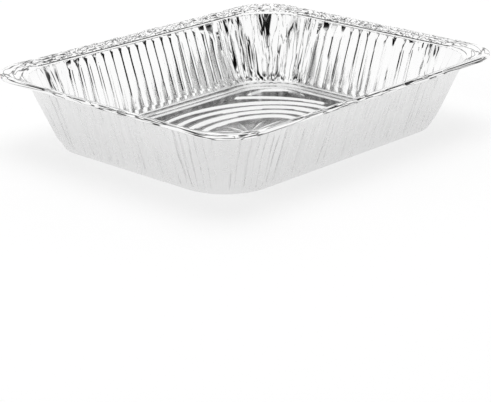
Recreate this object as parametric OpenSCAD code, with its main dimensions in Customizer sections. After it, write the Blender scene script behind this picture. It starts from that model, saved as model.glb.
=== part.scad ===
// Foil roasting pan: one thin sheet pressed into a fluted tray with a curled rim.
// Millimetres, +Z up, the flat underside of the floor rests on z = 0, centred in X and Y.
// The long sides run along X. The sheet is built as one closed skin, inside face and outside face.

/* [Overall] */
// Length over the curled rim
pan_length = 324; // [300:1:350]
// Width over the curled rim
pan_width = 265; // [250:1:290]
// Height from the resting face to the top of the curl
pan_height = 60; // [48:1:75]
// Thickness of the foil sheet
foil_thickness = 0.12; // [0.1:0.01:0.3]

/* [Rim] */
// Width of the rim from its outer edge to the top of the wall
rim_width = 12.6; // [10:0.1:16]
// Diameter of the rolled edge
curl_size = 4.2; // [3:0.1:5]
// How far the top of the curl stands over the top of the wall
rim_rise = 4.6; // [4:0.1:6]
// Corner radius of the rolled edge
rim_corner = 34; // [28:1:42]

/* [Wall] */
// Corner radius at the top of the wall
wall_corner = 44; // [36:1:48]
// How far the foot of the wall is drawn in from its top
wall_inset = 19.4; // [14:0.2:24]
// Depth of a flute where it is deepest
flute_depth = 1.5; // [0.8:0.1:2.2]
// Depth of a flute near the floor
flute_foot = 0.8; // [0.4:0.1:1.6]
// Drop from the top of the wall to where the flutes are deepest
flute_start = 2.6; // [2:0.2:6]
// Height over the floor where the flutes end
flute_end = 4; // [3:0.5:8]
// Flutes along the straight part of a long side
long_flutes = 19; // [15:1:23]
// Flutes along the straight part of a short side
short_flutes = 13; // [11:1:15]
// Gathered flutes in each corner
corner_flutes = 9; // [7:1:11]
// Depth of the folds gathered in the corners
gather_depth = 1.9; // [0.8:0.1:2.4]

/* [Floor] */
// Corner radius of the floor
floor_corner = 40; // [34:1:44]
// Height of the two border beads
border_bead = 1.2; // [0.4:0.1:2]
// Width of a border bead from foot to foot
border_bead_width = 7.4; // [5:0.2:8]
// Distance from the edge of the floor to the first border bead
border_gap = 2.6; // [1.5:0.1:3]
// Height of the short bars in the corners of the floor
corner_bar = 1.1; // [0.4:0.1:2]
// Height of the oval beads
oval_bead = 1.4; // [0.4:0.1:2]
// Distance from the edge of the floor to the outermost oval bead, at the ends of the pan
oval_end_gap = 37.5; // [30:0.5:45]
// Distance from the edge of the floor to the outermost oval bead, at the long sides
oval_side_gap = 28; // [26:0.5:34]
// Width of the outer slope of the outermost oval bead
oval_slope = 5.5; // [3:0.5:6]
// Distance from one oval bead to the next
oval_pitch = 13; // [10:0.5:14]

/* [Hidden] */
// Half sizes over the rim, at the top of the wall and at the edge of the floor
rim_x = pan_length / 2;
rim_y = pan_width / 2;
wall_x = rim_x - rim_width;
wall_y = rim_y - rim_width;
floor_x = wall_x - wall_inset;
floor_y = wall_y - wall_inset;
// Half sizes of the outermost oval bead
oval_x = floor_x - oval_end_gap;
oval_y = floor_y - oval_side_gap;
// Height of the top of the wall and of the inside face of the floor
wall_z = pan_height - rim_rise;
floor_z = foil_thickness;
// Half lengths of the parts of the sides where the flutes run parallel
straight_x = floor_x - floor_corner;
straight_y = floor_y - floor_corner;
// Counts of flutes in a quarter and all round, one main station for each flute
half_long = long_flutes / 2;
half_short = short_flutes / 2;
quarter = half_long + corner_flutes + half_short;
count = round(4 * quarter);
inner_count = count / 2;
// Width of one flute on a long side
flute_pitch = 2 * straight_x / long_flutes;
// Middle of the corner zone, counted in flutes from the middle of a long side
corner_mid = half_long + corner_flutes / 2;
// Direction from the inside face to the outside face on the wall
wall_run = norm([wall_z - floor_z, wall_inset]);
wall_out = (wall_z - floor_z) / wall_run;
wall_down = -wall_inset / wall_run;
// Radius of the curl and height of its centre
curl_r = curl_size / 2;
curl_z = pan_height - curl_r;

// Position along a quarter for a station, mirrored from one quarter to the next
function turn(u) = floor(u / quarter) % 4;
function along(u) = let (v = u - quarter * floor(u / quarter)) turn(u) % 2 == 0 ? v : quarter - v;
function side_x(u) = turn(u) < 2 ? 1 : -1;
function side_y(u) = turn(u) == 0 || turn(u) == 3 ? 1 : -1;

// Corner of a rounded outline as x, y and the outward direction, f runs from 0 to 1,
// ease under 1 moves stations from the straight pieces beside the arc into the arc
function corner_at(hx, hy, r, sx, sy, f, ease) =
    let (a = hx - r - sx, b = r * PI / 2, c = hy - r - sy, s = f * (a * ease + b + c * ease))
    s <= a * ease ? [sx + s / ease, hy, 0, 1]
    : s >= a * ease + b ? [hx, hy - r - (s - a * ease - b) / ease, 1, 0]
    : let (g = (s - a * ease) / r * 180 / PI)
        [hx - r + r * sin(g), hy - r + r * cos(g), sin(g), cos(g)];

// First quarter of a rounded outline, w runs from the middle of the long side to that of the short side
function quarter_at(hx, hy, r, w, ease) =
    let (sx = min(straight_x, hx - r), sy = min(straight_y, hy - r))
    w <= half_long ? [sx * w / half_long, hy, 0, 1]
    : w >= half_long + corner_flutes ? [hx, sy * (quarter - w) / half_short, 1, 0]
    : corner_at(hx, hy, r, sx, sy, (w - half_long) / corner_flutes, ease);

// Point of a rounded outline at station u, pushed outward by d and set at height z
function outline_at(hx, hy, r, u, d, z, ease = 1) =
    let (p = quarter_at(hx, hy, r, along(u), ease))
    [side_x(u) * (p[0] + d * p[2]), side_y(u) * (p[1] + d * p[3]), z];

// Point of an oval at station u and height z
function oval_at(hx, hy, u, z) =
    let (g = 90 * along(u) / quarter) [side_x(u) * hx * sin(g), side_y(u) * hy * cos(g), z];

// 1 for a station less than span flutes from the middle of a bar, and 0 well beyond
function in_bar(u, span, offset) =
    let (k = max(0, min(1, (span - abs(along(u) - corner_mid - offset)) / 1.6 + 0.5))) k * k * (3 - 2 * k);

// Whether flute k belongs to the gathered ones of a corner
function gathered(k) = abs(along(k + 0.5) - corner_mid) <= corner_flutes / 2 + 0.01;
// Distance of station u from the middle of its corner, counted in flutes
function off_middle(u) = (turn(u) % 2 == 0 ? 1 : -1) * (along(u) - corner_mid);

// Depth of a flute on a side, t is 0 at the upper wall ring and 1 at the lower one
function depth_at(k, t) = (t == 0 ? flute_depth : flute_foot) * (1 + 0.06 * sin(71 * k));

// The wall has three stations to a flute. On a side they are the groove and its two edges.
// In a corner each is a fold line, and the three in the middle stand apart at the top of the wall.
function gather_station(i, t) =
    let (e = off_middle(i / 3), open = t == 0 ? 0.5 : -0.6)
    i / 3 + e * open * max(0, 1 - abs(e)) + (abs(e) < 0.8 ? 0 : 0.08 * sin(197 * i));
function wall_station(i, t) =
    let (k = floor(i / 3), j = i % 3, w = depth_at(j == 2 ? k + 1 : k, t) / flute_pitch)
    gathered(k) ? gather_station(i, t) : j == 0 ? k : j == 1 ? k + w : k + 1 - w;

// How far station i stands out from the wall's plain outline: fold lines go out and in by turns
function gather_out(i, t) =
    t == 0 && abs(off_middle(i / 3)) < 0.4 ? 0.26 * gather_depth
    : i % 2 == 0 ? gather_depth * (0.58 + 0.42 * sin(61 * i + 75 * t)) * (1 - 0.2 * t)
    : -0.24 * gather_depth * (1 + sin(83 * i + 60 * t)) * (1 - 0.2 * t);
function wall_out_at(i, t) =
    let (k = floor(i / 3)) gathered(k) ? gather_out(i, t) : i % 3 == 0 ? depth_at(k, t) : 0;

// Main rings from the free edge of the curl to the top of the wall:
// distance in from the outer edge, height, corner radius, offset out and up to the outside face, ease
rim_rings = [
    [curl_r * 1.72, curl_z - curl_r * 0.7, rim_corner - curl_r * 1.72, -0.72, 0.7, 0.35],
    [curl_r, curl_z - curl_r, rim_corner - curl_r, 0, 1, 0.35],
    [0, curl_z - curl_r * 0.5, rim_corner, -0.9, 0.4, 0.35],
    [0, curl_z + curl_r * 0.5, rim_corner, -0.9, -0.4, 0.35],
    [curl_r, pan_height, rim_corner - curl_r, 0, -1, 0.35],
    [rim_width * 0.62, wall_z + rim_rise * 0.53, rim_corner + (wall_corner - rim_corner) * 0.6, 0.1, -1, 0.55],
    [rim_width, wall_z, wall_corner, 0.7, -1, 1]
];

// Flat rings of the floor border: distance in from the edge of the floor, bead height, corner radius
border_foot = 1.1;
border_half = border_bead_width / 2;
border_rings = [
    [0, border_foot, floor_corner],
    for (i = [0 : 4])
        let (d = border_gap + i * border_half) [d, i % 2 * border_bead, floor_corner - 0.4 * d]
];

// Rings that pass from the border to the ovals: share of the oval, height of the bar on it,
// half length of the bar and its offset from the middle of the corner, both counted in flutes
blend_rings = [
    [0.12, 0, 0, 0],
    [0.28, corner_bar, corner_flutes * 0.44, 0],
    [0.46, 0, 0, 0],
    [0.72, corner_bar, corner_flutes * 0.76, corner_flutes * 0.14],
    [0.9, 0, 0, 0]
];

// Oval rings: distance in from the outermost oval bead and height
oval_rings = [
    [-oval_slope, 0],
    [0, oval_bead],
    [oval_pitch * 0.5, 0],
    [oval_pitch, oval_bead],
    [oval_pitch * 1.5, 0],
    [oval_pitch * 2, oval_bead],
    [oval_pitch * 2.5, 0],
    [oval_pitch * 3, oval_bead],
    [oval_pitch * 3.45, 0]
];

// One face of the sheet, s is 0 for the inside face and 1 for the outside face
function rim_points(s) = [
    for (q = rim_rings, u = [0 : count - 1])
        outline_at(rim_x - q[0], rim_y - q[0], q[2], u,
            s * q[3] * foil_thickness, q[1] + s * q[4] * foil_thickness, q[5])
];

// Wall ring at height z, where k is the share of the drop from the top of the wall to the floor
function wall_points(s, z, t) = [
    for (i = [0 : 3 * count - 1])
        let (k = (wall_z - z) / (wall_z - floor_z))
        outline_at(wall_x - k * wall_inset, wall_y - k * wall_inset,
            wall_corner + k * (floor_corner - wall_corner), wall_station(i, t),
            wall_out_at(i, t) + s * wall_out * foil_thickness, z + s * wall_down * foil_thickness)
];

function border_points(s) = [
    for (q = border_rings, u = [0 : count - 1])
        outline_at(floor_x - q[0], floor_y - q[0], q[2], u,
            s * (q[0] == 0 ? 0.6 : 0) * foil_thickness, floor_z + q[1] - s * foil_thickness)
];

function blend_points(s) = [
    for (q = blend_rings, u = [0 : count - 1])
        let (last = border_rings[len(border_rings) - 1],
            z = floor_z + q[1] * (q[1] > 0 ? in_bar(u, q[2], q[3]) : 0) - s * foil_thickness,
            a = outline_at(floor_x - last[0], floor_y - last[0], last[2], u, 0, z),
            b = oval_at(oval_x + oval_slope, oval_y + oval_slope, u, z))
        a * (1 - q[0]) + b * q[0]
];

function oval_points(s) = [
    for (i = [0 : len(oval_rings) - 1], u = [0 : (i < 2 ? 1 : 2) : count - 1])
        let (q = oval_rings[i])
        oval_at(oval_x - q[0], oval_y - q[0], u, floor_z + q[1] - s * foil_thickness)
];

function face_points(s) = concat(
    rim_points(s),
    wall_points(s, wall_z - flute_start, 0),
    wall_points(s, floor_z + flute_end, 1),
    border_points(s),
    blend_points(s),
    oval_points(s),
    [[0, 0, floor_z - s * foil_thickness]]
);

// Number of points in each ring, in the order of face_points
rim_n = len(rim_rings);
flat_n = len(border_rings) + len(blend_rings) + 2;
inner_n = len(oval_rings) - 2;
ring_size = concat(
    [for (i = [0 : rim_n - 1]) count],
    [3 * count, 3 * count],
    [for (i = [0 : flat_n - 1]) count],
    [for (i = [0 : inner_n - 1]) inner_count]
);
// Index of the first point of each ring
function first_of(i) = i == 0 ? 0 : first_of(i - 1) + ring_size[i - 1];
ring_first = [for (i = [0 : len(ring_size) - 1]) first_of(i)];
rings = len(ring_size);
centre = ring_first[rings - 1] + ring_size[rings - 1];
face_size = centre + 1;

// Triangles between ring i and the next ring inward, for the cases of equal, finer and coarser rings
function band(i) =
    let (a = ring_first[i], b = ring_first[i + 1], n = ring_size[i], m = ring_size[i + 1])
    n == m ? [
        for (k = [0 : n - 1])
            let (l = (k + 1) % n)
            each [[a + k, a + l, b + l], [a + k, b + l, b + k]]
    ]
    : m == 3 * n ? [
        for (k = [0 : n - 1])
            let (l = (k + 1) % n, c = b + 3 * k)
            each [[a + k, c + 1, c], [a + k, c + 2, c + 1], [a + k, a + l, c + 2], [a + l, b + 3 * l, c + 2]]
    ]
    : n == 3 * m ? [
        for (k = [0 : m - 1])
            let (l = (k + 1) % m, c = a + 3 * k)
            each [[b + k, c, c + 1], [b + k, c + 1, c + 2], [b + k, c + 2, b + l], [b + l, c + 2, a + 3 * l]]
    ]
    : [
        for (k = [0 : m - 1])
            let (l = (k + 1) % m, c = a + 2 * k)
            each [[c, c + 1, b + k], [c + 1, b + l, b + k], [c + 1, a + 2 * l, b + l]]
    ];

inside_faces = concat(
    [for (i = [0 : rings - 2]) each band(i)],
    [for (k = [0 : inner_count - 1])
        [ring_first[rings - 1] + k, ring_first[rings - 1] + (k + 1) % inner_count, centre]]
);

// Closing strip along the free edge of the curl
edge_faces = [
    for (k = [0 : count - 1])
        let (l = (k + 1) % count)
        each [[k, l + face_size, l], [k, k + face_size, l + face_size]]
];

module pan() {
    color([0.82, 0.83, 0.84])
        polyhedron(
            points = concat(face_points(0), face_points(1)),
            faces = concat(
                inside_faces,
                [for (f = inside_faces) [f[0] + face_size, f[2] + face_size, f[1] + face_size]],
                edge_faces
            ),
            convexity = 12
        );
}

pan();
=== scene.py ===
"""Foil roasting pan: one high-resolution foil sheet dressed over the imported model."""
import math

import bpy
import numpy as np
from mathutils import Matrix, Vector


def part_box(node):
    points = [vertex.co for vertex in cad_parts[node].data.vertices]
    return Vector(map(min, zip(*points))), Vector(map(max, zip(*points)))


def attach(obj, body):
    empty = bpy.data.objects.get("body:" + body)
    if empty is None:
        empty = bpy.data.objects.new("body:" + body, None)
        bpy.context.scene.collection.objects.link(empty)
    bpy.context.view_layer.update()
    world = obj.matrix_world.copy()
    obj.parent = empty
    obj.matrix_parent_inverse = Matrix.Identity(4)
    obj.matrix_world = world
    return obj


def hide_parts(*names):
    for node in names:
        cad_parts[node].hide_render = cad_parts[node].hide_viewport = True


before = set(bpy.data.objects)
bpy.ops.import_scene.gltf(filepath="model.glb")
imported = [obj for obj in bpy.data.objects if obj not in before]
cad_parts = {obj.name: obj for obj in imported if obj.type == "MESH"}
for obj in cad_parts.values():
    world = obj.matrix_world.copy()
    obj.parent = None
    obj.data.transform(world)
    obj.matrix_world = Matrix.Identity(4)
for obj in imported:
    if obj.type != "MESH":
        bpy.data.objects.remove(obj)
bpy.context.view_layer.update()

MM = 0.001

# ---------------------------------------------------------------- driving sizes, in millimetres
low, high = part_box("pan")
PAN_X = (high[0] - low[0]) / 2 / MM
PAN_Y = (high[1] - low[1]) / 2 / MM
PAN_H = (high[2] - low[2]) / MM

RIM_WIDTH = 12.6
RIM_RISE = 4.6
CURL_R = 2.1
RIM_CORNER = 34.0
WALL_CORNER = 44.0
WALL_INSET = 19.4
FLOOR_CORNER = 40.0
# Thickness drawn, a little over the real foil so that the two faces stay apart
SHEET = 0.3

LONG_FLUTES = 19
SHORT_FLUTES = 13
CORNER_FLUTES = 9
# In flutes: the middle of the first corner, the end of the first quarter, and the length over
# which the corner zones fade out
CORNER_MID = LONG_FLUTES / 2 + CORNER_FLUTES / 2
QUARTER = LONG_FLUTES / 2 + CORNER_FLUTES + SHORT_FLUTES / 2
CORNER_FADE = 2.5
FLUTES = int(round(4 * QUARTER))

WALL_X = PAN_X - RIM_WIDTH
WALL_Y = PAN_Y - RIM_WIDTH
WALL_Z = PAN_H - RIM_RISE
FLOOR_X = WALL_X - WALL_INSET
FLOOR_Y = WALL_Y - WALL_INSET
STRAIGHT_X = FLOOR_X - FLOOR_CORNER
STRAIGHT_Y = FLOOR_Y - FLOOR_CORNER

rng = np.random.default_rng(2522)


# ---------------------------------------------------------------- noise
NOISE_ROWS = 257
NOISE_START = 64.0


def quintic(f):
    return f * f * f * (f * (f * 6 - 15) + 10)


def lattice_noise(u, v, nu, seed):
    """Smooth noise between -1 and 1. u repeats every 1 with nu cells, v counts cells."""
    table = np.random.default_rng(seed).uniform(-1, 1, (nu, NOISE_ROWS))
    x = (u % 1.0) * nu
    y = v + NOISE_START
    xi = np.floor(x).astype(int)
    yi = np.floor(y).astype(int)
    fx = quintic(x - xi)
    fy = quintic(y - yi)
    x0, x1 = xi % nu, (xi + 1) % nu
    y0, y1 = yi % NOISE_ROWS, (yi + 1) % NOISE_ROWS
    a = table[x0, y0] * (1 - fx) + table[x1, y0] * fx
    b = table[x0, y1] * (1 - fx) + table[x1, y1] * fx
    return a * (1 - fy) + b * fy


def smooth(x, a, b):
    """0 up to a, 1 from b on, and a smooth step between them."""
    k = np.clip((x - a) / (b - a), 0, 1)
    return k * k * (3 - 2 * k)


# ---------------------------------------------------------------- outlines
def quarter_outline(hx, hy, r, w, ease):
    """Rounded outline of the first quarter: x, y, outward direction. w runs 0 to QUARTER.

    ease under 1 spaces the stations of the corner zone wider on its straight bits."""
    half_long = LONG_FLUTES / 2
    sx = min(STRAIGHT_X, hx - r)
    sy = min(STRAIGHT_Y, hy - r)
    a, b, c = hx - r - sx, r * math.pi / 2, hy - r - sy
    s = np.clip((w - half_long) / CORNER_FLUTES, 0, 1) * (a * ease + b + c * ease)
    g = np.clip((s - a * ease) / r, 0, math.pi / 2)
    x = hx - r + r * np.sin(g)
    y = hy - r + r * np.cos(g)
    nx, ny = np.sin(g), np.cos(g)
    before = s < a * ease
    x = np.where(before, sx + s / ease, x)
    after = s > a * ease + b
    y = np.where(after, hy - r - (s - a * ease - b) / ease, y)
    long_side = w < half_long
    x = np.where(long_side, sx * w / half_long, x)
    y = np.where(long_side, hy, y)
    short_side = w > half_long + CORNER_FLUTES
    x = np.where(short_side, hx, x)
    y = np.where(short_side, sy * (QUARTER - w) / (SHORT_FLUTES / 2), y)
    nx = np.where(long_side, 0, np.where(short_side, 1, nx))
    ny = np.where(long_side, 1, np.where(short_side, 0, ny))
    return x, y, nx, ny


def split_station(u):
    """Place along the first quarter and the two mirror signs of station u."""
    u = u % (4 * QUARTER)
    turn = np.floor(u / QUARTER).astype(int) % 4
    v = u - QUARTER * np.floor(u / QUARTER)
    w = np.where(turn % 2 == 0, v, QUARTER - v)
    return w, np.where(turn < 2, 1.0, -1.0), np.where((turn == 0) | (turn == 3), 1.0, -1.0)


def outline(hx, hy, r, u, ease=1.0):
    """Rounded outline at stations u all round: x, y, outward direction."""
    w, qx, qy = split_station(u)
    x, y, nx, ny = quarter_outline(hx, hy, r, w, ease)
    return x * qx, y * qy, nx * qx, ny * qy


def oval(hx, hy, u):
    """Ellipse at stations u all round."""
    w, qx, qy = split_station(u)
    g = math.pi / 2 * w / QUARTER
    return qx * hx * np.sin(g), qy * hy * np.cos(g)


def corner_share(u):
    """1 in the corner zones and 0 on the straight sides."""
    w, _, _ = split_station(u)
    return smooth((CORNER_FLUTES + CORNER_FADE) / 2 - np.abs(w - CORNER_MID), 0, CORNER_FADE)


# ---------------------------------------------------------------- flutes
# Every flute and fold of the wall is a set of fold lines that run down it. A line has a place
# along the wall, in flutes, and a push inward, in mm, at each of these distances below its top.
KNOTS = np.array([0.0, 0.3, 1.6, 4.0, 8.0, 15.0, 24.0, 33.0, 42.0, 49.0, 55.2])
PITCH = 9.3
LINES_PER_FLUTE = 3
STATIONS_PER_LINE = 4
WANDER_STEP = 9.0

# Side flutes: half width of the thin line in the band and smallest gap between fold lines, in mm,
# and the middle of the band as a share of the pitch
LINE_HALF = 0.42
LINE_GAP = 0.15
BAND_MIDDLE = 0.62

# Gathers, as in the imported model: depth in mm, and the degrees by which grooves, crowns and
# leans change from one fold line to the next and, for the first two, from top to foot
GATHER_DEPTH = 1.9
GROOVE_TURN, GROOVE_DRIFT = 61, 75
CROWN_TURN, CROWN_DRIFT = 83, 60
LEAN_TURN, LEAN = 197, 0.08
# Flat triangle in the middle of a corner: reaches in flutes, top as a share of the depth, turn
# in mm a flute, and a bulge in mm that fades down the wall
TRIANGLE_REACH, TRIANGLE_SIDE = 0.4, 0.8
TRIANGLE_TOP = -0.26
TRIANGLE_TURN = 0.4
TRIANGLE_BULGE, TRIANGLE_HALF = 0.22, 0.45
TRIANGLE_DOWN = np.interp(KNOTS, [0, 18, 26], [1.0, 1.0, 0.0])
# Folds beside it, which lean the other way near the top and are held deep there, to a share of
# the depth. Nearer the middle than DENT_FREE the top has no dents
TIGHT_REACH, LEAN_REACH = 3.2, 3.3
TIGHT_TOP = -0.8
DENT_FREE = 0.6
# Wedges at the start of a corner, from its middle in flutes, and how they fade down the wall
WEDGE_FROM, WEDGE_TO = -4.45, -2.9
WEDGE_GROOVE, WEDGE_CROWN = -2.6, 0.15
WEDGE_SHARE = np.interp(KNOTS, [4.0, 8.0, 14.0], [1.0, 0.75, 0.0])
# Smallest step between fold lines and room before the next flute, in flutes
FOLD_STEP, FOLD_ROOM = 0.07, 0.1


def wandering(count, size):
    """Offsets that drift from knot to knot."""
    steps = rng.normal(0, size, (count, len(KNOTS)))
    return np.cumsum(steps * np.gradient(KNOTS) / WANDER_STEP, axis=1)


def side_flute(at, nearness, strain):
    """Fold lines of one flute: a narrow groove, then a band up to the next groove.

    nearness and strain are 1 beside a corner, and widen and roughen the flute there."""
    groove = 0.72 + 0.1 * rng.normal() + 0.25 * nearness * rng.uniform(-1, 1)
    wedge = rng.uniform(1.3, 1.9) + 0.5 * strain + 1.8 * nearness
    drop = rng.uniform(2.1, 3.1) + 1.6 * strain + 4.0 * nearness
    half = groove + wedge * np.exp(-(KNOTS / drop) ** (1.6 + 0.9 * nearness))
    wobble = wandering(1, 0.012 + 0.05 * nearness)[0] * PITCH
    line_at = rng.uniform(2.3, 3.1)
    line_deep = (0.04 + 0.46 * strain * rng.uniform(0.4, 1.0)) * smooth(KNOTS, 4.0, 10.0)
    crown = rng.uniform(0.15, 0.4) + 0.5 * nearness * rng.uniform(0, 1)
    line_left = np.maximum(line_at - LINE_HALF, half + LINE_GAP)
    line_mid = np.maximum(line_at, line_left + LINE_GAP)
    line_right = np.maximum(line_at + LINE_HALF, line_mid + LINE_GAP)
    mid = np.full(len(KNOTS), BAND_MIDDLE * PITCH)
    places = [0 * half, half, line_left, line_mid, line_right, mid, PITCH - half]
    pushes = [-half, 0 * half, 0.5 * crown + 0 * half, 0.5 * crown - line_deep,
              0.75 * crown + 0 * half, crown + 0 * half, 0 * half]
    return [(at + (place + wobble) / PITCH, push) for place, push in zip(places, pushes)]


def off_middle(u):
    """Signed distance of station u from the middle of its corner, in flutes."""
    w, _, _ = split_station(u)
    return float(w - CORNER_MID) * (1 if int(u // QUARTER) % 2 == 0 else -1)


def sine(degrees):
    return math.sin(math.radians(degrees))


def gather_push(i, t):
    """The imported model's push inward on fold line i, t is 0 near the top and 1 near the floor."""
    if t == 0 and abs(off_middle(i / LINES_PER_FLUTE)) < TRIANGLE_REACH:
        return TRIANGLE_TOP * GATHER_DEPTH
    if i % 2 == 0:
        swell = 0.58 + 0.42 * sine(GROOVE_TURN * i + GROOVE_DRIFT * t)
        return -GATHER_DEPTH * swell * (1 - 0.2 * t)
    return 0.24 * GATHER_DEPTH * (1 + sine(CROWN_TURN * i + CROWN_DRIFT * t)) * (1 - 0.2 * t)


def corner_folds(first, last):
    """Fold lines of a corner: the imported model's, which also wander and swell down the wall."""
    numbers = range(LINES_PER_FLUTE * first, LINES_PER_FLUTE * last)
    count = len(numbers)
    share = np.clip(KNOTS / 51, 0, 1)
    opening = np.interp(KNOTS, [0, 4, 22, 34], [0.55, 0.5, -0.4, -0.6])
    calm = np.interp(KNOTS, [0, 20, 32], [0.0, 0.0, 1.0])
    lean_beside = np.interp(KNOTS, [0, 14, 26], [-0.7, -0.7, 1.0])
    levels = rng.uniform(0.65, 1.3, (count, 4))
    places, pushes = wandering(count, 0.05), np.zeros((count, len(KNOTS)))
    places[0] = 0
    for row, i in enumerate(numbers):
        groove = i % 2 == 0
        station = i / LINES_PER_FLUTE
        e = off_middle(station)
        places[row] += station + e * opening * max(0, 1 - abs(e))
        if abs(e) >= TRIANGLE_SIDE:
            lean = lean_beside if abs(e) < LEAN_REACH else 1.0
            places[row] += LEAN * sine(LEAN_TURN * i) * lean
        strength = np.interp(KNOTS, [0, 17, 36, 55], levels[row])
        top, foot = gather_push(i, 0), gather_push(i, 1)
        if abs(e) < TIGHT_REACH and groove:
            top = min(top, TIGHT_TOP * GATHER_DEPTH)
            strength = np.maximum(strength, np.interp(KNOTS, [0, 12, 24], [1, 1, 0]))
        if abs(e) < TRIANGLE_REACH:
            flat = gather_push(i, 0) + TRIANGLE_TURN * e * (1 + opening)
            pushes[row] = flat * (1 - calm) + foot * strength * calm
            places[row] -= (1 - calm) * (places[row] - station - e * opening * (1 - abs(e)))
        else:
            pushes[row] = (top * (1 - share) + foot * share) * strength
        if WEDGE_FROM < e < WEDGE_TO:
            wedge = WEDGE_GROOVE if groove else WEDGE_CROWN
            pushes[row] += WEDGE_SHARE * (wedge - pushes[row])
    for row in range(1, count):
        places[row] = np.maximum(places[row], places[row - 1] + FOLD_STEP)
    over = np.maximum(0, places[-1] - (last - FOLD_ROOM))
    places -= over * np.linspace(0, 1, count)[:, None]
    return list(zip(places, pushes))


def crumple(part, e):
    """Small dents between two fold lines of a corner, e is the distance from its middle."""
    if part == 0:
        return 0.0
    size = 0.4 if part == 2 else 0.2
    dents = rng.uniform(-size, 0.7 * size, 5)
    if abs(e) > DENT_FREE:
        near_top = 1.0 if abs(e) > TIGHT_REACH else 0.35
        return np.interp(KNOTS, [0, 10, 22, 36, 55], dents * [near_top, near_top, 1, 1, 1])
    return np.interp(KNOTS, [18, 26, 36, 46, 55], dents * [0, 1, 1, 1, 1])


def is_gathered(flute):
    """True for the flutes of the corner zones."""
    w, _, _ = split_station(flute + 0.5)
    return abs(w - CORNER_MID) <= CORNER_FLUTES / 2 + 0.01


# Effects of a corner on the side flutes next to it: reach and fade in flutes, and the share of
# the first one that the three corners other than the far one get
NEAR_REACH, NEAR_FADE = 3.5, 2.5
STRAIN_REACH, STRAIN_FADE = 8.0, 7.0
OTHER_CORNERS = 0.35
# Push at the end of the last line of a flute or corner: a share of that line's own, and mm more
CLOSING_SHARE, CLOSING_PUSH = 0.2, -0.6

fold_places, fold_pushes, even = [], [], []
flute = 0
while flute < FLUTES:
    width = 1
    if is_gathered(flute):
        while is_gathered(flute + width):
            width += 1
        lines, parts = corner_folds(flute, flute + width), STATIONS_PER_LINE
    else:
        w, x_side, y_side = split_station(flute + 0.5)
        past_corner = abs(w - CORNER_MID) - CORNER_FLUTES / 2
        near = float(smooth(NEAR_REACH - past_corner, 0, NEAR_FADE))
        near *= 1.0 if x_side > 0 and y_side > 0 else OTHER_CORNERS
        strain = float(smooth(STRAIN_REACH - past_corner, 0, STRAIN_FADE))
        lines, parts = side_flute(flute, near, strain), 1
    for k, (place, push) in enumerate(lines):
        if k + 1 < len(lines):
            next_place, next_push = lines[k + 1]
        else:
            next_place = np.full(len(KNOTS), float(flute + width))
            next_push = push * CLOSING_SHARE + CLOSING_PUSH
        for part in range(parts):
            f = part / parts
            fold_places.append(place * (1 - f) + next_place * f)
            crimp = crumple(part, off_middle(float(place[0])))
            e = off_middle(float(fold_places[-1][0]))
            bulge = TRIANGLE_BULGE * max(0.0, 1 - (e / TRIANGLE_HALF) ** 2) * TRIANGLE_DOWN
            fold_pushes.append(push * (1 - f) + next_push * f + crimp + bulge)
    count = len(lines) * parts
    even.extend(flute + width * np.arange(count) / count)
    flute += width
fold_places, fold_pushes = np.array(fold_places), np.array(fold_pushes)
N = len(fold_places)
ROUND = np.arange(N) / N
EVEN_STATION = np.array(even)


def at_knots(table, down):
    """A table of all stations read at one distance below the top of the wall."""
    k = int(np.clip(np.searchsorted(KNOTS, down, side="right") - 1, 0, len(KNOTS) - 2))
    f = np.clip((down - KNOTS[k]) / (KNOTS[k + 1] - KNOTS[k]), 0, 1)
    return table[:, k] * (1 - f) + table[:, k + 1] * f


TOP_STATION = at_knots(fold_places, 0.0)
STATION = at_knots(fold_places, 28.0)
FOOT_STATION = at_knots(fold_places, KNOTS[-1])
TURN = STATION / FLUTES

# The rim's creases are drawn out along it on the near sides and round the corners that end them
DRAWN_RATE = 0.16
DRAWN_GRID = np.linspace(0, 1, 2001)
RIGHT_CORNER = 2 * QUARTER - CORNER_MID
LEFT_CORNER = 4 * QUARTER - CORNER_MID
drawn = (smooth(DRAWN_GRID * FLUTES, RIGHT_CORNER - 4, RIGHT_CORNER - 1)
         * (1 - smooth(DRAWN_GRID * FLUTES, LEFT_CORNER + 1, LEFT_CORNER + 4)))
rates = 1 - (1 - DRAWN_RATE) * drawn
DRAWN_TURNS = np.concatenate([[0], np.cumsum((rates[1:] + rates[:-1]) / 2)]) / (len(rates) - 1)

# Toe of the flutes, in mm: height, middle and half width of a small wave, and where a flute ends
TOE_HEIGHT, TOE_DOWN, TOE_HALF = 0.5, 51.2, 1.3
FLUTE_END = (47.5, 52.8)


def drawn_turn(turn):
    """Turns along the rim, counted at a lower rate where its creases are drawn out."""
    return np.floor(turn) * DRAWN_TURNS[-1] + np.interp(turn % 1, DRAWN_GRID, DRAWN_TURNS)


def flute_push(down):
    """How far the sheet is pressed inward at each station, at a distance below the wall's top."""
    wave = np.cos(2 * math.pi * STATION)
    toe = TOE_HEIGHT * np.exp(-((down - TOE_DOWN) / TOE_HALF) ** 2) * wave
    return at_knots(fold_pushes, down) * (1 - smooth(down, *FLUTE_END)) - toe


# ---------------------------------------------------------------- rings of the sheet
class Ring:
    """One closed line of the sheet round the pan, with its outward directions.

    across is its place across the sheet in mm, step thins out its stations, push goes inward."""

    def __init__(self, x, y, z, nx, ny, zone, across, step=1, push=None):
        self.x, self.y, self.nx, self.ny = x, y, nx, ny
        self.z = np.full(N, z) if np.isscalar(z) else z
        self.zone, self.across, self.step = zone, across, step
        self.push = np.zeros(N) if push is None else push


rings = []

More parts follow.
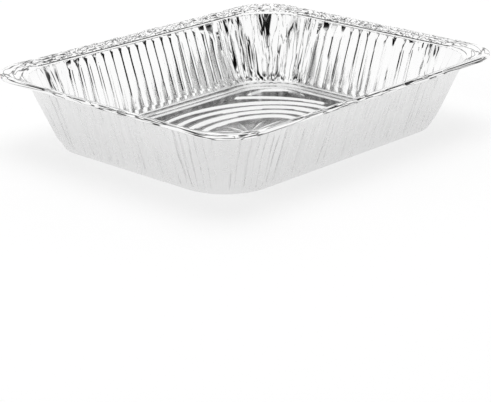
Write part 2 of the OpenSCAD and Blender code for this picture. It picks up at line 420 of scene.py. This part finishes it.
# Curl: from the free edge under the rim, round the outside, to the top
CURL_Z = PAN_H - CURL_R
CURL_START, CURL_STEPS, CURL_COARSE = -140.0, 8, 4
CORNER_EASE = 0.35
for i in range(CURL_STEPS + 1):
    g = math.radians(CURL_START + (90 - CURL_START) * i / CURL_STEPS)
    d = CURL_R - CURL_R * math.cos(g)
    x, y, nx, ny = outline(PAN_X - d, PAN_Y - d, RIM_CORNER - d, EVEN_STATION, CORNER_EASE)
    step = 2 if i < CURL_COARSE else 1
    rings.append(Ring(x, y, CURL_Z + CURL_R * math.sin(g), nx, ny, "rim", CURL_R * g, step))

# Rim: from the top of the curl down to the ledge at the top of the wall
# CURL_RUN is how much longer the curl's arc is than its width
CURL_RUN = 1.2
CREASE_FADE = 1.2
LEDGE, LEDGE_STEP = 10.8, 0.365
STEP_END = LEDGE + 0.5
RIM_LINES = [3.3, 4.5, 5.7, 6.9, 8.1, 9.2, 10.1, LEDGE, STEP_END, 11.8, 12.2, RIM_WIDTH]
ROUNDING = 3.0
SLOPE = (RIM_RISE - LEDGE_STEP) / (RIM_WIDTH - CURL_R - ROUNDING / 2)
for d in RIM_LINES:
    t = d - CURL_R
    drop = SLOPE * (t * t / (2 * ROUNDING) if t < ROUNDING else t - ROUNDING / 2)
    z = PAN_H - drop - LEDGE_STEP * float(np.clip((d - LEDGE) / (STEP_END - LEDGE), 0, 1))
    corner = RIM_CORNER + (WALL_CORNER - RIM_CORNER) * (d / RIM_WIDTH)
    ease = CORNER_EASE + (1 - CORNER_EASE) * (d - CURL_R) / (RIM_WIDTH - CURL_R)
    lined_up = smooth(d, LEDGE - 2.0, RIM_WIDTH)
    stations = EVEN_STATION * (1 - lined_up) + TOP_STATION * lined_up
    x, y, nx, ny = outline(PAN_X - d, PAN_Y - d, corner, stations, ease)
    rings.append(Ring(x, y, z, nx, ny, "rim" if d < LEDGE else "ledge", d + CURL_RUN))

# Wall: from its top to the edge of the floor, with a small bend at both ends
WALL_LINES = [0.3, 0.9, 1.6, 2.7, 4.0, 5.8, 8.0, 11.5, 15.5, 20.5, 26.0, 31.5, 37.0, 42.0,
              46.0, 48.8, 50.3, 51.4, 52.5, 53.6, 54.6]
UNDER_WALL_LINES = [0.3, 1.6, 4.0, 8.0, 15.5, 26.0, 37.0,
                    46.0, 48.8, 50.3, 51.4, 52.5, 53.6, 54.6]
FLOOR_Z = SHEET
for down in WALL_LINES:
    k = down / (WALL_Z - FLOOR_Z)
    inset = WALL_INSET * k
    corner = WALL_CORNER + (FLOOR_CORNER - WALL_CORNER) * k
    x, y, nx, ny = outline(WALL_X - inset, WALL_Y - inset, corner, at_knots(fold_places, down))
    push = flute_push(down)
    rings.append(Ring(x, y, WALL_Z - down, nx, ny, "wall", down, push=push))


# Floor: heights of beads, bars and ovals
def bead(distance, half, height):
    """Rounded ridge, full height at distance 0 and flat beyond half."""
    k = np.clip(np.abs(distance) / half, 0, 1)
    return height * (1 - k * k) ** 1.5


BORDER_BEADS = [(6.3, 3.3, 1.2), (13.7, 3.3, 1.2)]
OVAL_X = FLOOR_X - 37.5
OVAL_Y = FLOOR_Y - 28.0
OVAL_PITCH = 13.0
OVAL_HALF = 3.9
OVAL_HEIGHT = 1.4
OVAL_FOOT = 5.2
BAR_HALF = 3.3
BAR_HEIGHT = 1.3
ARC_CENTRE = (FLOOR_X - 44.8, FLOOR_Y - 50.7)
ARC_RADIUS = 24.7
ARC_SWEEP = (math.radians(-25), math.radians(105))
LONG_BAR_FROM = (FLOOR_X - 67.0, FLOOR_Y - 26.5)
LONG_BAR_TO = (FLOOR_X - 29.5, FLOOR_Y - 91.0)
LONG_BAR_BOW = 8.0


def border_height(d):
    return sum(bead(d - at, half, height) for at, half, height in BORDER_BEADS)


def oval_height(k):
    return sum(bead(k - OVAL_PITCH * i, OVAL_HALF, OVAL_HEIGHT) for i in range(4))


def bar_distances(x, y):
    """Distances to the two short bars in each corner: one follows the corner, one cuts it off."""
    px, py = np.abs(x), np.abs(y)
    cx, cy = ARC_CENTRE
    angle = np.clip(np.arctan2(py - cy, px - cx), *ARC_SWEEP)
    arc = np.hypot(px - cx - ARC_RADIUS * np.cos(angle), py - cy - ARC_RADIUS * np.sin(angle))
    (ax, ay), (bx, by) = LONG_BAR_FROM, LONG_BAR_TO
    length = math.hypot(bx - ax, by - ay)
    dx, dy = (bx - ax) / length, (by - ay) / length
    t = (px - ax) * dx + (py - ay) * dy
    side = (px - ax) * -dy + (py - ay) * dx
    f = np.clip(t / length, 0, 1)
    bow = LONG_BAR_BOW * (1 - (2 * f - 1) ** 2)
    line = np.hypot(t - f * length, side - bow)
    return arc, line


def bar_height(x, y):
    return np.maximum(*(bead(distance, BAR_HALF, BAR_HEIGHT) for distance in bar_distances(x, y)))


# Border: a small rise where the wall meets the floor, then the two beads
FOOT_RISE, FOOT_REACH = 0.9, 0.9
CORNER_SHRINK = 0.4
EDGE_RINGS = [0.0, 0.8, 2.0, 3.2, 4.6, 6.3, 8.0, 9.4, 10.4, 12.0, 13.7, 15.4, 16.8, 17.6]
for d in EDGE_RINGS:
    corner = FLOOR_CORNER - CORNER_SHRINK * d
    x, y, nx, ny = outline(FLOOR_X - d, FLOOR_Y - d, corner, FOOT_STATION)
    foot = FOOT_RISE * math.exp(-(d / FOOT_REACH) ** 2)
    rings.append(Ring(x, y, FLOOR_Z + foot + float(border_height(d)), nx, ny, "floor", d, step=2))
last_x, last_y = x, y

# From the border to the ovals: rings on both bars of each corner, and one between them
BAR_MET = 0.5
BAR_SPREAD = (-1, -0.5, 0, 0.5, 1)
OVAL_STATION = ROUND * FLUTES
oval_foot_x, oval_foot_y = oval(OVAL_X + OVAL_FOOT, OVAL_Y + OVAL_FOOT, OVAL_STATION)
span = np.hypot(oval_foot_x - last_x, oval_foot_y - last_y)
quarter_place = split_station(FOOT_STATION)[0]


def shares_on_bars():
    """Share of the way from the border to the ovals at which each station meets the two bars."""
    f = np.linspace(0, 1, 301)[:, None]
    near = bar_distances(last_x * (1 - f) + oval_foot_x * f,
                         last_y * (1 - f) + oval_foot_y * f)
    order = np.argsort(quarter_place)
    shares = []
    for distance in near:
        best = np.argmin(distance, axis=0)
        met = order[distance[best, np.arange(N)][order] < BAR_MET]
        shares.append(np.interp(quarter_place, quarter_place[met], f[best[met], 0]))
    return shares


# Half widths of the bars as shares of that way, kept clear of each other and of both ends
on_arc, on_line = shares_on_bars()
room = 0.45 * (on_line - on_arc)
arc_half = np.minimum(np.minimum(BAR_HALF / span, 0.9 * on_arc), room)
line_half = np.minimum(np.minimum(BAR_HALF / span, 0.9 * (1 - on_line)), room)
# From here on a ring's place across the sheet is rough, it only serves the map and the noise
blend_shares = [on_arc + k * arc_half for k in BAR_SPREAD]
blend_shares.append((on_arc + arc_half + on_line - line_half) / 2)
blend_shares += [on_line + k * line_half for k in BAR_SPREAD]
blend_shares.append(np.ones(N))
for i, f in enumerate(blend_shares):
    x = last_x * (1 - f) + oval_foot_x * f
    y = last_y * (1 - f) + oval_foot_y * f
    rings.append(Ring(x, y, FLOOR_Z + bar_height(x, y), nx, ny, "floor", 17.8 + i, step=2))

# Ovals: the outermost has a row of fine dots on it, and the flat centre has faint spokes
FIRST_OVAL = [-3.9, -2.8, -1.7, -0.6, 0.5, 1.6, 2.8, 3.9]
NEXT_OVAL = np.array([-OVAL_FOOT, -3.9, -2.6, -1.3, 0.0, 1.3, 2.6, 3.9])
CENTRE = 44.0
OVAL_RINGS = np.concatenate(
    [FIRST_OVAL] + [OVAL_PITCH * i + NEXT_OVAL for i in (1, 2, 3)] + [[CENTRE]])
DOT_HEIGHT, DOT_AT, DOT_HALF = 0.12, -0.2, 1.3
FINE_OVALS = 20
dot_wave = np.cos(math.pi * np.arange(N) / 2)
for k in OVAL_RINGS:
    x, y = oval(OVAL_X - k, OVAL_Y - k, OVAL_STATION)
    z = FLOOR_Z + float(oval_height(k))
    dots = DOT_HEIGHT * dot_wave * math.exp(-((k - DOT_AT) / DOT_HALF) ** 2)
    step = 2 if k < FINE_OVALS else 4
    rings.append(Ring(x, y, z + dots, nx, ny, "floor", 40 + k, step))
inner_x, inner_y = x, y
SPOKES, SPOKE_HEIGHT = 14, 0.25
spoke_wave = np.maximum(0, np.cos(2 * math.pi * SPOKES * TURN)) ** 6
for f in [0.86, 0.72, 0.58, 0.44, 0.3, 0.16]:
    spokes = spoke_wave * SPOKE_HEIGHT * bead(f - 0.55, 0.35, 1.0)
    rings.append(Ring(inner_x * f, inner_y * f, FLOOR_Z + spokes, nx, ny, "floor", 100 * f, 4))


# ---------------------------------------------------------------- the inside face with its creases
def build_surface():
    """Positions of all rings, (rings, N, 3), and the creases of the rim, in millimetres."""
    place = np.zeros((len(rings), N, 3))
    creases = np.zeros((len(rings), N))
    loose_here = corner_share(STATION)
    for i, ring in enumerate(rings):
        across = np.broadcast_to(ring.across, (N,)).astype(float)
        push = ring.push.copy()
        slide = np.zeros(N)
        if ring.zone == "wall":
            fade = smooth(ring.across, 0.3, 3) * (1 - smooth(ring.across, 49, 54))
            push += fade * (0.03 + 0.1 * loose_here) * lattice_noise(TURN, across / 9, 260, 13)
            push += fade * 0.12 * lattice_noise(TURN, across / 20, 60, 15)
            slide = fade * (0.05 + 0.25 * loose_here) * lattice_noise(TURN, across / 12, 90, 14)
        if ring.zone == "rim":
            spot = drawn_turn(EVEN_STATION / FLUTES) / DRAWN_TURNS[-1]
            cells = lattice_noise(spot, across / 2.6, int(340 * DRAWN_TURNS[-1]), 21)
            wide = lattice_noise(spot, across / 6, int(130 * DRAWN_TURNS[-1]), 23)
            calm = 1 - smooth(ring.across, LEDGE - CREASE_FADE, LEDGE + CREASE_FADE)
            creases[i] = calm * (0.45 * (0.3 - np.abs(cells)) + 0.25 * wide)
        place[i, :, 0] = ring.x - push * ring.nx + slide * -ring.ny
        place[i, :, 1] = ring.y - push * ring.ny + slide * ring.nx
        place[i, :, 2] = ring.z
        if ring.zone == "floor":
            place[i, :, 2] += 0.04 * lattice_noise(TURN, across / 8, 24, 31)
    return place, creases


def normals_of(place):
    """Normals of the inside face by differences along and across the rings."""
    along = np.roll(place, -1, axis=1) - np.roll(place, 1, axis=1)
    across = np.empty_like(place)
    across[1:-1] = place[2:] - place[:-2]
    across[0] = place[1] - place[0]
    across[-1] = place[-1] - place[-2]
    n = np.cross(across, along)
    n /= np.maximum(np.linalg.norm(n, axis=2, keepdims=True), 1e-9)
    return n if n[UP_RING, 0, 2] > 0 else -n


# A ring of the flat centre, where the inside face looks up
UP_RING = len(rings) - 3
inside, rim_creases = build_surface()
inside += normals_of(inside) * rim_creases[:, :, None]
# The outside face follows the inside face at the sheet's thickness
outside = inside - normals_of(inside) * SHEET

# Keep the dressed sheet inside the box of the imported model
for face in (inside, outside):
    face[:, :, 0] = np.clip(face[:, :, 0], -PAN_X, PAN_X)
    face[:, :, 1] = np.clip(face[:, :, 1], -PAN_Y, PAN_Y)
    face[:, :, 2] = np.clip(face[:, :, 2], 0, PAN_H)


# ---------------------------------------------------------------- mesh
SLOT_RIM, SLOT_SIDE, SLOT_GATHERS, SLOT_FLOOR, SLOT_OUTSIDE = range(5)
ZONE_SLOTS = {"rim": SLOT_RIM, "ledge": SLOT_SIDE, "wall": SLOT_SIDE, "floor": SLOT_FLOOR}
# Where each zone starts across the sheet, in mm
ZONE_STARTS = {"rim": 0, "ledge": 0, "wall": 14, "floor": 75}
GATHERED_SHARE = 0.35
COARSEST = 4
SHARP_ANGLE = 24
verts, faces, slots, sheet_uv = [], [], [], []
SHEET_SPAN = PITCH * FLUTES * MM


def add_face(place, used, flip, coarse, one_slot=None):
    """One face of the sheet, of the rings in used, gives its first vertex.

    coarse widens its stations on the floor, one_slot is the material of all of it."""
    start, steps = [], []
    for i in used:
        ring = rings[i]
        start.append(len(verts))
        steps.append(min(ring.step * coarse, COARSEST) if ring.zone == "floor" else ring.step)
        picked = place[i, ::steps[-1]] * MM
        verts.extend(picked.tolist())
        run = TURN[::steps[-1]]
        sheet_uv.extend(zip(run.tolist(), [profile_run[i] * MM] * len(run)))
    centre = len(verts)
    verts.append([0.0, 0.0, float(place[-1, :, 2].mean() * MM)])
    sheet_uv.append((0.0, profile_run[-1] * MM))

    def put(face, slot):
        faces.append(tuple(reversed(face)) if flip else tuple(face))
        slots.append(slot if one_slot is None else one_slot)

    for i in range(len(used) - 1):
        a, b = start[i], start[i + 1]
        n, m = N // steps[i], N // steps[i + 1]
        zone = rings[used[i]].zone
        if n == m:
            for k in range(n):
                after = (k + 1) % n
                gathered = zone == "wall" and gathered_station[k]
                put((a + k, b + k, b + after, a + after),
                    SLOT_GATHERS if gathered else ZONE_SLOTS[zone])
        else:
            fine, fine_count, wide, wide_count = (a, n, b, m) if n > m else (b, m, a, n)
            ratio = fine_count // wide_count
            half_way = ratio // 2
            for k in range(wide_count):
                after = (k + 1) % wide_count
                near = [fine + (ratio * k + j) % fine_count for j in range(ratio + 1)]
                fan = [(near[j], wide + k, near[j + 1]) for j in range(half_way)]
                fan.append((near[half_way], wide + k, wide + after))
                fan += [(near[j], wide + after, near[j + 1]) for j in range(half_way, ratio)]
                for face in fan:
                    put(face if n > m else face[::-1], ZONE_SLOTS[zone])
    m = N // steps[-1]
    for k in range(m):
        put((start[-1] + k, centre, start[-1] + (k + 1) % m), SLOT_FLOOR)
    return start[0]


gathered_station = corner_share(STATION) > GATHERED_SHARE
profile_run = [ring.across + ZONE_STARTS[ring.zone] for ring in rings]
every_ring = list(range(len(rings)))
under_rings = [i for i in every_ring if rings[i].zone == "floor"
               or rings[i].zone == "wall" and rings[i].across in UNDER_WALL_LINES
               or rings[i].zone in ("rim", "ledge") and i % 2 == 0]
top_start = add_face(inside, every_ring, False, 1)
under_start = add_face(outside, under_rings, True, 2, SLOT_OUTSIDE)
# The free edge of the sheet, between its two faces
edge = N // rings[0].step
for k in range(edge):
    after = (k + 1) % edge
    faces.append((top_start + k, top_start + after, under_start + after, under_start + k))
    slots.append(SLOT_RIM)

mesh = bpy.data.meshes.new("foil_sheet")
mesh.from_pydata(verts, [], faces)
mesh.polygons.foreach_set("material_index", slots)
mesh.polygons.foreach_set("use_smooth", [True] * len(faces))
mesh.update()
mesh.set_sharp_from_angle(angle=math.radians(SHARP_ANGLE))


def write_sheet_uv():
    """Maps of the flat sheet in metres: along the rim, and across from the curl to the centre.

    In the second one the drawn out part of the rim is shorter, so that its creases are longer."""
    corner = np.zeros(len(mesh.loops), dtype=np.int32)
    mesh.loops.foreach_get("vertex_index", corner)
    uv = np.array(sheet_uv)[corner]
    start = np.zeros(len(mesh.polygons), dtype=np.int32)
    mesh.polygons.foreach_get("loop_start", start)
    count = np.diff(np.append(start, len(corner)))
    highest = np.repeat(np.maximum.reduceat(uv[:, 0], start), count)
    turns = np.where(highest - uv[:, 0] > 0.5, uv[:, 0] + 1, uv[:, 0])
    for name, along in (("sheet", turns), ("drawn", drawn_turn(turns))):
        uv[:, 0] = along * SHEET_SPAN
        layer = mesh.uv_layers.new(name=name)
        layer.data.foreach_set("uv", uv.ravel())


write_sheet_uv()
pan = bpy.data.objects.new("foil_sheet", mesh)
bpy.context.collection.objects.link(pan)


# ---------------------------------------------------------------- materials
def node_material(name):
    material = bpy.data.materials.new(name)
    material.use_nodes = True
    tree = material.node_tree
    return material, tree, tree.nodes["Principled BSDF"]


def add(tree, kind, **values):
    """A new node with its inputs or properties set."""
    node = tree.nodes.new(kind)
    for key, value in values.items():
        if key in node.inputs:
            node.inputs[key].default_value = value
        else:
            setattr(node, key, value)
    return node


def arithmetic(tree, operation, first, second=None):
    """Output of a maths node whose second input is a socket, a number or nothing."""
    node = add(tree, "ShaderNodeMath", operation=operation)
    tree.links.new(first, node.inputs[0])
    if isinstance(second, float):
        node.inputs[1].default_value = second
    elif second is not None:
        tree.links.new(second, node.inputs[1])
    return node.outputs["Value"]


def mapped(tree, value, limits, kind="LINEAR"):
    """Output of a map range node, limits are its inputs by name."""
    node = add(tree, "ShaderNodeMapRange", interpolation_type=kind, **limits)
    tree.links.new(value, node.inputs["Value"])
    return node.outputs["Result"]


def stretched_noise(tree, place, scale, detail):
    """Output of a noise whose space is scaled by three factors."""
    mapping = add(tree, "ShaderNodeMapping", Scale=scale)
    tree.links.new(place, mapping.inputs["Vector"])
    noise = add(tree, "ShaderNodeTexNoise", Scale=1.0, Detail=detail)
    tree.links.new(mapping.outputs["Vector"], noise.inputs["Vector"])
    return noise.outputs["Fac"]


def crease_bump(tree, place, cell, width, strength, depth, before):
    """Thin folds along the level lines of a noise, added to the bump node before.

    place is the socket of the sheet's map and cell is the noise's size along and across it.
    Gives the bump node and the distance from the lines, in the noise's own units."""
    noise = stretched_noise(tree, place, (1 / cell[0], 1 / cell[1], 1.0), 1.0)
    away = arithmetic(tree, "ABSOLUTE", arithmetic(tree, "SUBTRACT", noise, 0.5))
    ramp = mapped(tree, away, {"From Max": width}, "SMOOTHSTEP")
    bump = add(tree, "ShaderNodeBump", Strength=strength, Distance=depth)
    tree.links.new(ramp, bump.inputs["Height"])
    tree.links.new(before.outputs["Normal"], bump.inputs["Normal"])
    return bump, away


# Slow change of gloss and tone over the foil: noise cells a metre, the part of the noise that
# the gloss uses, and how far the tone goes down and up
CLOUD_SCALE = 70.0
CLOUD_BAND = (0.3, 0.7)
TONE_DOWN, TONE_UP = 0.04, 0.03
# Rolled grain: cells a metre along x, y and z, and its depth in metres
GRAIN_SCALE = (60.0, 2600.0, 600.0)
GRAIN_DEPTH = 0.0001


def foil(name, rough, rough_spread, tone_level, fold, grain, painted_fold_shade=None, sheet_map="sheet"):
    """Aluminium foil: thin folds, fine rolled grain, uneven gloss and tone, and painted shade in
    its tight creases where asked.

    fold gives the folds' size along and across in metres, the width of a line, the strength
    and the depth in metres. The argument after grain gives the half width and the darkest tone of
    painted shade along the tight creases: a darker base colour that stands in for the light lost in
    them."""
    material, tree, shader = node_material(name)
    link = tree.links.new
    shader.inputs["Metallic"].default_value = 1.0
    place = add(tree, "ShaderNodeTexCoord")
    sheet_place = add(tree, "ShaderNodeUVMap", uv_map=sheet_map)

    cloud = add(tree, "ShaderNodeTexNoise", Scale=CLOUD_SCALE, Detail=4.0)
    link(place.outputs["Object"], cloud.inputs["Vector"])
    gloss = mapped(tree, cloud.outputs["Fac"], {
        "From Min": CLOUD_BAND[0], "From Max": CLOUD_BAND[1],
        "To Min": rough - rough_spread, "To Max": rough + rough_spread})
    link(gloss, shader.inputs["Roughness"])

    lines = stretched_noise(tree, place.outputs["Object"], GRAIN_SCALE, 2.0)
    bump = add(tree, "ShaderNodeBump", Strength=grain, Distance=GRAIN_DEPTH)
    link(lines, bump.inputs["Height"])
    bump, away = crease_bump(tree, sheet_place.outputs["UV"], *fold, before=bump)
    link(bump.outputs["Normal"], shader.inputs["Normal"])

    level = mapped(tree, cloud.outputs["Fac"], {
        "To Min": tone_level - TONE_DOWN, "To Max": tone_level + TONE_UP})
    # Painted shade: the base colour is darkened along the crease lines, standing in for light lost
    # in the folds
    if painted_fold_shade:
        painted_crease_shade = mapped(tree, away, {"From Max": painted_fold_shade[0], "To Min": painted_fold_shade[1]},
                      "SMOOTHSTEP")
        level = arithmetic(tree, "MULTIPLY", level, painted_crease_shade)
    grey = add(tree, "ShaderNodeCombineColor")
    for socket in ("Red", "Green", "Blue"):
        link(level, grey.inputs[socket])
    link(grey.outputs["Color"], shader.inputs["Base Color"])
    return material


RIM_FOLDS = ((0.0038, 0.0024), 0.10, 0.5, 0.0004)
SIDE_FOLDS = ((0.0034, 0.06), 0.02, 0.12, 0.0003)
GATHER_FOLDS = ((0.0050, 0.035), 0.04, 0.3, 0.0004)
FLOOR_FOLDS = ((0.012, 0.012), 0.02, 0.06, 0.0001)
OUTSIDE_FOLDS = ((0.0040, 0.03), 0.05, 0.3, 0.0003)
# One material for each slot, in the slots' order
for material in (
        # The rim gets painted shade along its crease lines, down to 0.03 of its tone
        foil("foil_rim", 0.07, 0.03, 0.94, RIM_FOLDS, 0.08, (0.055, 0.03), "drawn"),
        foil("foil_side", 0.10, 0.04, 0.93, SIDE_FOLDS, 0.08),
        foil("foil_gathers", 0.08, 0.03, 0.92, GATHER_FOLDS, 0.08),
        foil("foil_floor", 0.19, 0.04, 0.87, FLOOR_FOLDS, 0.10),
        foil("foil_outside", 0.28, 0.05, 0.85, OUTSIDE_FOLDS, 0.2)):
    mesh.materials.append(material)

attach(pan, "root")
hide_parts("pan")


# ---------------------------------------------------------------- floor, lamps, world, camera
# Share of plain white in the floor that the camera and mirror-like surfaces see
BACKDROP_SHARE = 0.72
FLOOR_REACH = 14.0


def stage_floor():
    floor_mesh = bpy.data.meshes.new("floor")
    corners = [(FLOOR_REACH * x, FLOOR_REACH * y, 0)
               for x, y in ((-1, -1), (1, -1), (1, 1), (-1, 1))]
    floor_mesh.from_pydata(corners, [], [(0, 1, 2, 3)])
    floor = bpy.data.objects.new("floor", floor_mesh)
    bpy.context.collection.objects.link(floor)
    material, tree, shader = node_material("pale_floor")
    shader.inputs["Base Color"].default_value = (0.9, 0.9, 0.9, 1)
    shader.inputs["Roughness"].default_value = 0.9
    shader.inputs["Specular IOR Level"].default_value = 0.1
    link = tree.links.new
    path = add(tree, "ShaderNodeLightPath")
    seen = arithmetic(tree, "ADD", path.outputs["Is Camera Ray"], path.outputs["Is Glossy Ray"])
    seen = arithmetic(tree, "ADD", seen, path.outputs["Is Transmission Ray"])
    share = arithmetic(tree, "MULTIPLY", seen, BACKDROP_SHARE)
    paper = add(tree, "ShaderNodeEmission", Strength=1.0)
    paper.inputs["Color"].default_value = (1, 1, 1, 1)
    mixed = add(tree, "ShaderNodeMixShader")
    link(share, mixed.inputs["Fac"])
    link(shader.outputs["BSDF"], mixed.inputs[1])
    link(paper.outputs["Emission"], mixed.inputs[2])
    link(mixed.outputs["Shader"], tree.nodes["Material Output"].inputs["Surface"])
    floor_mesh.materials.append(material)


def lamp(name, place, aim, size, power):
    """Area lamp that mirror-like surfaces don't see."""
    data = bpy.data.lights.new(name, "AREA")
    data.shape = "RECTANGLE"
    data.size, data.size_y = size
    data.energy = power
    obj = bpy.data.objects.new(name, data)
    obj.location = place
    obj.rotation_euler = (Vector(aim) - Vector(place)).to_track_quat("-Z", "Y").to_euler()
    bpy.context.collection.objects.link(obj)
    obj.visible_glossy = False


stage_floor()
lamp("overhead", (0.3, 0.2, 2.4), (0, 0, 0), (2.2, 2.2), 30)
lamp("right", (2.6, -0.9, 1.2), (0, 0, 0.05), (2.0, 1.6), 6)
lamp("left", (-2.4, 1.4, 1.2), (0, 0, 0.05), (2.0, 1.6), 16)

# Light tent: white all round with dim openings, each as azimuth, elevation and radius in degrees
# and its tone, with a soft edge of OPENING_BLUR degrees to both sides
TENT_WHITE = 1.06
TENT_OPENINGS = [(227.0, 9.0, 14, 0.01), (226.0, 24.0, 11.5, 0.01), (218.0, 36.0, 9.5, 0.01),
                 (260.0, 9.0, 9, 0.05), (-23.0, 42.0, 18, 0.1), (115.0, 44.0, 18, 0.1),
                 (223.4, 62.0, 17, 0.1), (176.0, 55.0, 19, 0.1), (271.0, 55.0, 19, 0.1)]
OPENING_BLUR = 4.0


def light_tent():
    world = bpy.data.worlds.new("studio")
    bpy.context.scene.world = world
    world.use_nodes = True
    tree = world.node_tree
    link = tree.links.new
    place = add(tree, "ShaderNodeTexCoord")
    light = None
    for azimuth, elevation, radius, level in TENT_OPENINGS:
        a, e = math.radians(azimuth), math.radians(elevation)
        toward = add(tree, "ShaderNodeVectorMath", operation="DOT_PRODUCT")
        toward.inputs[1].default_value = (math.cos(e) * math.cos(a), math.cos(e) * math.sin(a),
                                          math.sin(e))
        link(place.outputs["Generated"], toward.inputs[0])
        opening = mapped(tree, toward.outputs["Value"], {
            "From Min": math.cos(math.radians(radius + OPENING_BLUR)),
            "From Max": math.cos(math.radians(radius - OPENING_BLUR)),
            "To Min": 1.0, "To Max": level}, "SMOOTHSTEP")
        light = opening if light is None else arithmetic(tree, "MULTIPLY", light, opening)
    link(light, tree.nodes["Background"].inputs["Color"])
    tree.nodes["Background"].inputs["Strength"].default_value = TENT_WHITE


light_tent()

# Camera, fitted to the photo: the azimuth of its view runs from +X towards +Y
CAMERA_AZIMUTH = math.radians(43.36)
CAMERA_ELEVATION = math.radians(19.88)
CAMERA_ROLL = math.radians(-0.41)
CAMERA_PLACE = Vector((-0.96265, -0.90419, 0.41960))
FOCAL_PIXELS = 1729.8
PHOTO_WIDTH = 491
SENSOR = 36.0
CLIP_END = 60


def make_camera():
    forward = Vector((math.cos(CAMERA_ELEVATION) * math.cos(CAMERA_AZIMUTH),
                      math.cos(CAMERA_ELEVATION) * math.sin(CAMERA_AZIMUTH),
                      -math.sin(CAMERA_ELEVATION)))
    right = forward.cross(Vector((0, 0, 1))).normalized()
    up = right.cross(forward)
    turned_right = right * math.cos(CAMERA_ROLL) + up * math.sin(CAMERA_ROLL)
    turned_up = up * math.cos(CAMERA_ROLL) - right * math.sin(CAMERA_ROLL)
    data = bpy.data.cameras.new("camera")
    data.sensor_width = SENSOR
    data.lens = FOCAL_PIXELS / PHOTO_WIDTH * SENSOR
    data.clip_end = CLIP_END
    camera = bpy.data.objects.new("camera", data)
    turn = Matrix((turned_right, turned_up, -forward)).transposed().to_4x4()
    camera.matrix_world = Matrix.Translation(CAMERA_PLACE) @ turn
    bpy.context.collection.objects.link(camera)
    bpy.context.scene.camera = camera


make_camera()
bpy.context.scene.view_settings.view_transform = "Standard"
